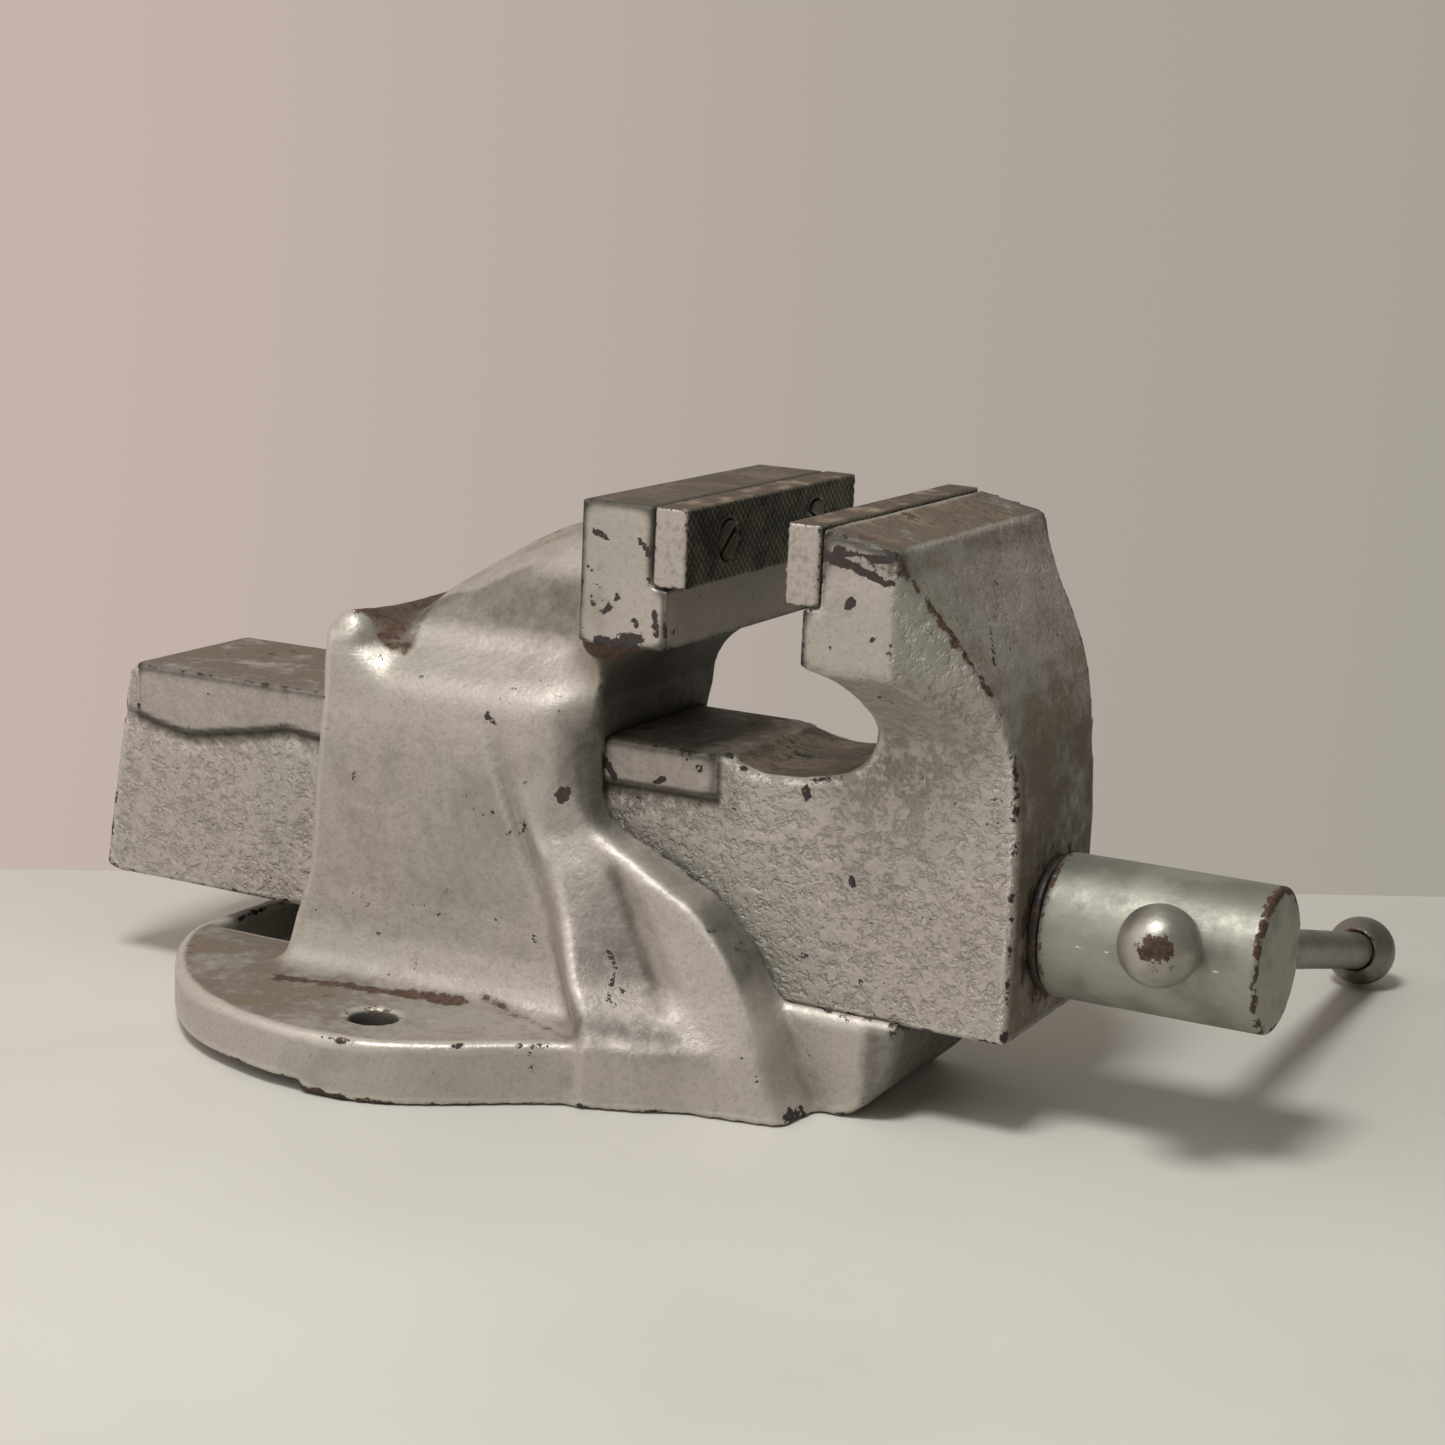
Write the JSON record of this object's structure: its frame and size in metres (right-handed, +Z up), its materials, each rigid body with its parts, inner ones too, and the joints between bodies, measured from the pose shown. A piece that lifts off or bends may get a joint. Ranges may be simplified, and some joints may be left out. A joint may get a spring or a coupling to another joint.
{
  "type": "bench vise",
  "caption": "Plain-screw engineer's bench vise: cast body on a round flanged base, sliding jaw on a square beam, steel jaw plates, spindle and tommy bar.",
  "frame": {"origin": "on the underside of the base, on the centreline, directly below the face of the fixed jaw plate", "axes": "+Z up from the bench, +Y along the beam towards the rear, -Y towards the handle, +X across the jaws"},
  "size_m": [0.2761, 0.3516, 0.158],
  "materials": {
    "silver_paint": "worn silver paint over rough cast iron",
    "jaw_steel": "dark hardened steel, finely serrated",
    "screw_steel": "silver painted steel with rust at its edges",
    "bar_steel": "dull grey steel",
    "fastener_steel": "dull steel with light rust",
    "spring_steel": "oiled dark spring steel",
    "nut_iron": "greasy cast iron"
  },
  "bodies": {
    "body": {"body_casting": "silver_paint", "fixed_jaw_plate": "jaw_steel", "fixed_plate_screw_left": "fastener_steel", "fixed_plate_screw_right": "fastener_steel", "main_nut": "nut_iron", "nut_bolt": "fastener_steel", "nut_bolt_washer": "fastener_steel"},
    "sliding_jaw": {"sliding_jaw_casting": "silver_paint", "moving_jaw_plate": "jaw_steel", "moving_plate_screw_left": "fastener_steel", "moving_plate_screw_right": "fastener_steel"},
    "spindle": {"main_screw": "screw_steel", "thrust_washer": "fastener_steel", "spring_washer": "fastener_steel", "take_up_spring": "spring_steel", "retaining_collar": "fastener_steel", "collar_pin": "fastener_steel"},
    "bar": {"tommy_bar": "bar_steel", "bar_ball_near": "bar_steel", "bar_ball_far": "bar_steel"}
  },
  "joints": [
    {"name": "jaw_slide", "type": "slide", "parent": "body", "child": "sliding_jaw", "axis": [0, 1, 0], "range_m": [-0.0874, 0.0272]},
    {"name": "spindle_turn", "type": "hinge", "parent": "sliding_jaw", "child": "spindle", "pos_m": [0, -0.1, 0.0536], "axis": [0, 1, 0], "range_deg": [-4950, 1538]},
    {"name": "bar_slide", "type": "slide", "parent": "spindle", "child": "bar", "axis": [-0.9701, 0, 0.2429], "range_m": [0, 0.1476]}
  ],
  "couplings": [
    {"joint": "jaw_slide", "follows": "spindle_turn", "m_per_rad": 0.0010106}
  ]
}
